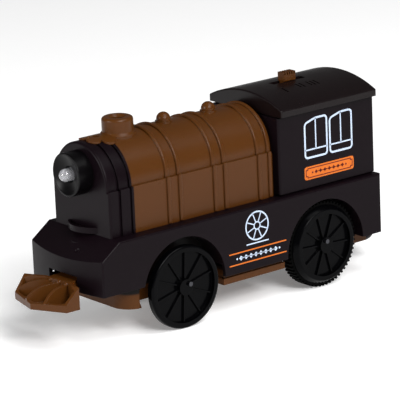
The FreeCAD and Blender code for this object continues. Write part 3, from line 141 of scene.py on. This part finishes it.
def surface(name, colour, rough=0.4, spec=0.3, vary=0.12, grain=0.02, wear=0.05,
            wear_colour=(150, 140, 135), edge=0.25, metal=0.0, clear=0.0, soft=0.0,
            shade_above=None):
    """A moulded or machined finish: uneven colour and gloss, scuffs, grain and softened edges."""
    look = Shading(name)
    sockets = look.shader.inputs
    sockets["Metallic"].default_value = metal
    sockets["Specular IOR Level"].default_value = spec
    sockets["Transmission Weight"].default_value = clear
    sockets["Subsurface Weight"].default_value = soft
    sockets["Subsurface Scale"].default_value = SOFT_DEPTH
    look.link(look.tint(colour, vary, wear, wear_colour, shade_above), sockets["Base Color"])
    look.link(look.gloss(rough), sockets["Roughness"])
    look.link(look.relief(grain, edge), sockets["Normal"])
    return look.material


BLACK = (14, 7, 11)
BROWN = (72, 40, 12)
BROWN_WEAR = (150, 105, 80)
# painted shade: the underframe is coloured near black from just above the lower edge of the
# chassis shell, standing in for the shadow in the wheel wells
WELL_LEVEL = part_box("chassis_shell")[0].z + 1.3 * MM

# one look for each material slot of the record
LOOKS = {
    "black_plastic": surface("black_plastic", BLACK, rough=0.34, spec=0.07, wear=0.006, edge=0.25),
    "brown_plastic": surface("brown_plastic", BROWN, rough=0.31, spec=0.14, vary=0.07,
                             wear=0.02, wear_colour=BROWN_WEAR, edge=0.22, soft=0.03),
    "tyre_rubber": surface("tyre_rubber", (3, 3, 3), rough=0.6, spec=0.03, vary=0.2,
                           grain=0.05, wear=0.004, edge=0.12),
    "lamp_clear": surface("lamp_clear", (240, 238, 236), rough=0.04, spec=0.5, vary=0.02,
                          grain=0.0, wear=0.01, edge=0.0, clear=0.96),
    "steel": surface("steel", (150, 150, 152), rough=0.34, spec=0.5, metal=1.0, grain=0.03,
                     wear=0.08, wear_colour=(95, 85, 75), edge=0.12),
    "brass": surface("brass", (205, 165, 85), rough=0.3, spec=0.5, metal=1.0, wear=0.06,
                     wear_colour=(120, 85, 45), edge=0.1),
    "white_nylon": surface("white_nylon", (225, 222, 208), rough=0.5, vary=0.04, soft=0.1,
                           wear_colour=(170, 160, 140), edge=0.12),
    "grey_plastic": surface("grey_plastic", (92, 92, 98), rough=0.55, edge=0.25),
    "ferrite": surface("ferrite", (60, 60, 62), rough=0.7, grain=0.08, edge=0.15),
    "rotor_iron": surface("rotor_iron", (120, 98, 75), rough=0.45, metal=0.6, edge=0.1),
    "cell_wrap": surface("cell_wrap", (62, 88, 150), rough=0.3, spec=0.5, wear=0.05, edge=0.2),
    "red_insulation": surface("red_insulation", (165, 25, 20), rough=0.42, edge=0.0),
    "black_insulation": surface("black_insulation", (28, 28, 30), rough=0.42, edge=0.0)}

# nodes that look different from the rest of their slot
SPECIAL = {
    "cab_roof": surface("roof_black", (14, 7, 8), rough=0.3, spec=0.16, wear=0.008, edge=0.3),
    "headlamp_barrel": surface("lamp_barrel", (4, 3, 4), rough=0.3, spec=0.1, wear=0.003,
                               edge=0.2),
    "headlamp_led": surface("lamp_dome", (246, 246, 250), rough=0.03, spec=1.0, vary=0.03,
                            grain=0.0, wear=0.01, edge=0.0, clear=0.78),
    # painted shade: the underframe turns near black above WELL_LEVEL, where the wheel wells lie in
    # shadow
    "underframe": surface("underframe_brown", BROWN, rough=0.36, spec=0.12, vary=0.07, wear=0.02,
                          wear_colour=BROWN_WEAR, edge=0.22, shade_above=WELL_LEVEL)}
WHEEL_BLACK = surface("wheel_black", (3, 3, 4), rough=0.22, spec=0.05, wear=0.002, edge=0.15)
PIN_STEEL = surface("pin_steel", (70, 70, 74), rough=0.3, spec=0.5, metal=1.0, wear=0.06, edge=0.1)
for axle in ("front", "rear"):
    SPECIAL[axle + "_crank_pins"] = PIN_STEEL
    SPECIAL[axle + "_wheel_left"] = WHEEL_BLACK
    SPECIAL[axle + "_wheel_right"] = WHEEL_BLACK

PRINT_PALE = surface("print_pale", (186, 200, 220), rough=0.5, spec=0.2, vary=0.06, wear=0.25,
                     wear_colour=(60, 55, 62), edge=0.0)
PRINT_ORANGE = surface("print_orange", (198, 100, 28), rough=0.5, spec=0.2, vary=0.07, wear=0.12,
                       wear_colour=(120, 60, 30), edge=0.0)
PRINT_RED = surface("print_red", (96, 26, 14), rough=0.5, spec=0.2, vary=0.1, wear=0.15,
                    wear_colour=(200, 110, 40), edge=0.0)

for part in frame["record"]["subparts"]:
    slots = frame["nodes"][part["node"]].data.materials
    slots.clear()
    slots.append(SPECIAL.get(part["node"], LOOKS[part["material_slot"]]))

# -------------------------------------------------------------- outlines for prints
CORNER_STEPS = 5
LARGEST_CORNER = 0.45


def area(ring):
    """Signed area of a ring of (x, z) points."""
    return sum(a[0] * b[1] - b[0] * a[1] for a, b in zip(ring, ring[1:] + ring[:1])) / 2


def circle(x, z, radius, count):
    """Evenly spaced points around a centre. Four of them make a diamond."""
    return [(x + radius * math.cos(2 * math.pi * i / count),
             z + radius * math.sin(2 * math.pi * i / count)) for i in range(count)]


def rounded_ring(corners, radius):
    """Corner points with each corner swept round, using less than half of each side."""
    ring = []
    count = len(corners)
    for i, corner in enumerate(corners):
        here = Vector(corner)
        back = Vector(corners[i - 1]) - here
        ahead = Vector(corners[(i + 1) % count]) - here
        cut = min(radius, back.length * LARGEST_CORNER, ahead.length * LARGEST_CORNER)
        start = here + back.normalized() * cut
        end = here + ahead.normalized() * cut
        for k in range(CORNER_STEPS + 1):
            t = k / CORNER_STEPS
            ring.append(tuple(start * (1 - t) ** 2 + here * 2 * t * (1 - t) + end * t * t))
    return ring


def notched_ring(rear, front, low, high, step_x, step_z):
    """A rectangle with a small step in each corner."""
    return [(rear + step_x, low), (front - step_x, low), (front - step_x, low + step_z),
            (front, low + step_z), (front, high - step_z), (front - step_x, high - step_z),
            (front - step_x, high), (rear + step_x, high), (rear + step_x, high - step_z),
            (rear, high - step_z), (rear, low + step_z), (rear + step_x, low + step_z)]


# -------------------------------------------------------------- printed decoration
PRINT_LIFT = 0.03
LINING_LIFT = 0.05
SHARPEST_MITRE = 0.4
ROW_RULE = 0.3
DOT_RADIUS = 0.42
DOT_SPACING = 0.8


class Print:
    """Thin inked shapes just off the left or right face of a node.

    Points are (x, z) in millimetres from the rear lower corner of the node's box.
    """

    def __init__(self, name, node, sign, lift=PRINT_LIFT):
        low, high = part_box(node)
        self.name = name
        self.sign = sign
        self.rear, self.base = low.x, low.z
        self.y = sign * (high.y + lift * MM)
        self.points = []
        self.faces = []

    def shape(self, ring):
        """A filled outline that faces outwards."""
        ring = ring if self.sign * area(ring) < 0 else ring[::-1]
        start = len(self.points)
        self.points += [(self.rear + x * MM, self.y, self.base + z * MM) for x, z in ring]
        self.faces.append(list(range(start, start + len(ring))))

    def line(self, path, width, closed=False):
        """A stroke of even width with mitred corners."""
        count = len(path)
        inner, outer = [], []
        for i, point in enumerate(path):
            here = Vector(point)
            before = Vector(path[i - 1]) if closed or i else None
            after = Vector(path[(i + 1) % count]) if closed or i < count - 1 else None
            back = (here - before).normalized() if before is not None else None
            ahead = (after - here).normalized() if after is not None else None
            back = ahead if back is None else back
            ahead = back if ahead is None else ahead
            tangent = (back + ahead).normalized()
            normal = Vector((-tangent.y, tangent.x))
            lean = normal.dot(Vector((-ahead.y, ahead.x)))
            reach = width / 2 / max(SHARPEST_MITRE, lean)
            inner.append(here + normal * reach)
            outer.append(here - normal * reach)
        for i in range(count if closed else count - 1):
            k = (i + 1) % count
            self.shape([tuple(inner[i]), tuple(inner[k]), tuple(outer[k]), tuple(outer[i])])

    def diamond_row(self, centre, level, count, pitch, reach):
        """Filled diamonds joined by a thin rule, with a dot past each end."""
        half = (count - 1) * pitch / 2
        for i in range(count):
            self.shape(circle(centre + half - i * pitch, level, reach, 4))
        self.line([(centre + half, level), (centre - half, level)], ROW_RULE)
        for end in (half + pitch * DOT_SPACING, -half - pitch * DOT_SPACING):
            self.shape(circle(centre + end, level, DOT_RADIUS, 14))

    def build(self, ink):
        """The shapes as one mesh, fixed to the chassis."""
        mesh = bpy.data.meshes.new(self.name)
        mesh.from_pydata(self.points, [], self.faces)
        mesh.materials.append(ink)
        obj = bpy.data.objects.new(self.name, mesh)
        bpy.context.scene.collection.objects.link(obj)
        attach(obj, "chassis")


# cab windows: the front edge, rear edge and upright bar of each, then their levels
PANES = ((36.4, 25.0, 30.8), (23.4, 12.0, 17.7))
PANE_BASE, PANE_SILL, PANE_SHOULDER, PANE_TOP, BAR_TOP = 12.9, 16.1, 26.9, 28.5, 28.4
PANE_CORNER = 1.5
PANE_EDGE, PANE_BAR = 0.8, 0.58


def cab_windows(side, sign):
    """Two outlined windows whose tops slope down to the front."""
    panes = Print("cab_windows_" + side, "cab_body", sign)
    for front, rear, post in PANES:
        outline = [(front, PANE_BASE), (front, PANE_SHOULDER), (post, PANE_TOP),
                   (rear, PANE_TOP), (rear, PANE_BASE)]
        panes.line(rounded_ring(outline, PANE_CORNER), PANE_EDGE, closed=True)
        panes.line([(front, PANE_SILL), (rear, PANE_SILL)], PANE_BAR)
        panes.line([(post, PANE_SILL), (post, BAR_TOP)], PANE_BAR)
    panes.build(PRINT_PALE)


# plate under the windows, and the lining set in from its edge
PLATE_REAR, PLATE_FRONT, PLATE_LOW, PLATE_HIGH = 11.3, 37.1, 4.1, 9.4
PLATE_CORNER = 1.2
LINING_INSET, LINING_STEP_X, LINING_STEP_Z, LINING_WIDTH = 0.8, 0.9, 0.6, 0.42


def cab_plate(side, sign):
    """An orange plate, with a stepped red lining around a row of diamonds."""
    plate = Print("cab_plate_" + side, "cab_body", sign)
    plate.shape(rounded_ring([(PLATE_REAR, PLATE_LOW), (PLATE_FRONT, PLATE_LOW),
                              (PLATE_FRONT, PLATE_HIGH), (PLATE_REAR, PLATE_HIGH)], PLATE_CORNER))
    plate.build(PRINT_ORANGE)
    lining = Print("cab_plate_lining_" + side, "cab_body", sign, LINING_LIFT)
    lining.line(notched_ring(PLATE_REAR + LINING_INSET, PLATE_FRONT - LINING_INSET,
                             PLATE_LOW + LINING_INSET, PLATE_HIGH - LINING_INSET,
                             LINING_STEP_X, LINING_STEP_Z), LINING_WIDTH, closed=True)
    lining.diamond_row((PLATE_REAR + PLATE_FRONT) / 2, (PLATE_LOW + PLATE_HIGH) / 2,
                       count=7, pitch=2.3, reach=0.85)
    lining.build(PRINT_RED)


# chassis side: two rules with a row of diamonds between them
RULE_FRONT, RULE_REAR = 79.4, 50.5
RULE_LEVELS = (8.1, 3.5)
RULE_WIDTH = 0.5
ROW_X, ROW_LEVEL = 64.8, 5.8

# spoked wheel above the rules, standing on a short rail
EMBLEM_X, EMBLEM_Z = 65.0, 17.1
RIM_RADIUS, RIM_WIDTH = 5.6, 0.6
HUB_RADIUS, HUB_WIDTH = 1.5, 0.5
SPOKES, SPOKE_START, SPOKE_END, SPOKE_WIDTH = 8, 1.6, 5.5, 0.45
RAIL_LEVEL, RAIL_WIDTH = 10.3, 0.5


def side_rules(side, sign):
    """Two orange rules."""
    rules = Print("side_rules_" + side, "chassis_shell", sign)
    for level in RULE_LEVELS:
        rules.line([(RULE_FRONT, level), (RULE_REAR, level)], RULE_WIDTH)
    rules.build(PRINT_ORANGE)


def side_marks(side, sign):
    """The pale row of diamonds and the pale spoked wheel."""
    marks = Print("side_marks_" + side, "chassis_shell", sign)
    marks.diamond_row(ROW_X, ROW_LEVEL, count=8, pitch=2.5, reach=1.0)
    marks.line(circle(EMBLEM_X, EMBLEM_Z, RIM_RADIUS, 36), RIM_WIDTH, closed=True)
    marks.line(circle(EMBLEM_X, EMBLEM_Z, HUB_RADIUS, 20), HUB_WIDTH, closed=True)
    for i in range(SPOKES):
        turn = 2 * math.pi * (i + 0.5) / SPOKES
        across, upward = math.cos(turn), math.sin(turn)
        marks.line([(EMBLEM_X + SPOKE_START * across, EMBLEM_Z + SPOKE_START * upward),
                    (EMBLEM_X + SPOKE_END * across, EMBLEM_Z + SPOKE_END * upward)], SPOKE_WIDTH)
    marks.line([(EMBLEM_X - RIM_RADIUS, RAIL_LEVEL), (EMBLEM_X + RIM_RADIUS, RAIL_LEVEL)],
               RAIL_WIDTH)
    marks.build(PRINT_PALE)


for side, sign in SIDES:
    cab_windows(side, sign)
    cab_plate(side, sign)
    side_rules(side, sign)
    side_marks(side, sign)

# ------------------------------------------------------------ stage, light, camera
FLOOR_REACH = 9.0
FLOOR_GLOW = 0.18
WORLD_GLOW = 0.12
WHITE = (1, 1, 1, 1)

floor_mat = surface("pale_floor", (250, 250, 250), rough=0.85, spec=0.1, vary=0.01, grain=0.0,
                    wear=0.0, edge=0.0)
floor_shader = floor_mat.node_tree.nodes["Principled BSDF"]
floor_shader.inputs["Emission Color"].default_value = WHITE
floor_shader.inputs["Emission Strength"].default_value = FLOOR_GLOW
floor_mesh = bpy.data.meshes.new("floor")
floor_mesh.from_pydata([(FLOOR_REACH * x, FLOOR_REACH * y, 0)
                        for x, y in ((-1, -1), (1, -1), (1, 1), (-1, 1))], [], [(0, 1, 2, 3)])
floor_mesh.materials.append(floor_mat)
floor = bpy.data.objects.new("floor", floor_mesh)
bpy.context.scene.collection.objects.link(floor)

world = bpy.data.worlds.new("studio")
bpy.context.scene.world = world
world.use_nodes = True
sky = world.node_tree.nodes["Background"].inputs
sky["Color"].default_value = WHITE
sky["Strength"].default_value = WORLD_GLOW

# soft studio lights, all aimed at one point: name, place, width and height in metres, and watts
AIM_POINT = Vector((0, 0, 0.04))
PANELS = (("overhead", (-0.3, 0.9, 1.6), 1.2, 1.1, 22),
          ("key", (0.3, 1.4, 1.0), 0.7, 0.5, 24),
          ("front_fill", (1.6, -0.3, 0.5), 0.6, 0.6, 17))
for name, place, width, height, power in PANELS:
    lamp = bpy.data.lights.new(name, "AREA")
    lamp.shape = "RECTANGLE"
    lamp.size = width
    lamp.size_y = height
    lamp.energy = power
    panel = bpy.data.objects.new(name, lamp)
    panel.location = place
    panel.rotation_euler = (Vector(place) - AIM_POINT).to_track_quat("Z", "Y").to_euler()
    bpy.context.scene.collection.objects.link(panel)

AZIMUTH, ELEVATION, ROLL = math.radians(141.62), math.radians(15.65), math.radians(2.442)
EYE = Vector((655.198, 824.775, 335.670)) * MM
right = Vector((math.cos(AZIMUTH), math.sin(AZIMUTH), 0))
back = Vector((math.sin(AZIMUTH) * math.cos(ELEVATION),
               -math.cos(AZIMUTH) * math.cos(ELEVATION), math.sin(ELEVATION)))
up = back.cross(right)
cam_x = right * math.cos(ROLL) - up * math.sin(ROLL)
cam_y = right * math.sin(ROLL) + up * math.cos(ROLL)
lens = bpy.data.cameras.new("camera")
lens.lens = 252.2
lens.sensor_width = 36.0
lens.clip_start = 0.05
lens.clip_end = 60.0
camera = bpy.data.objects.new("camera", lens)
camera.matrix_world = Matrix((
    (cam_x.x, cam_y.x, back.x, EYE.x), (cam_x.y, cam_y.y, back.y, EYE.y),
    (cam_x.z, cam_y.z, back.z, EYE.z), (0, 0, 0, 1)))
bpy.context.scene.collection.objects.link(camera)
bpy.context.scene.camera = camera
bpy.context.scene.view_settings.view_transform = "Standard"
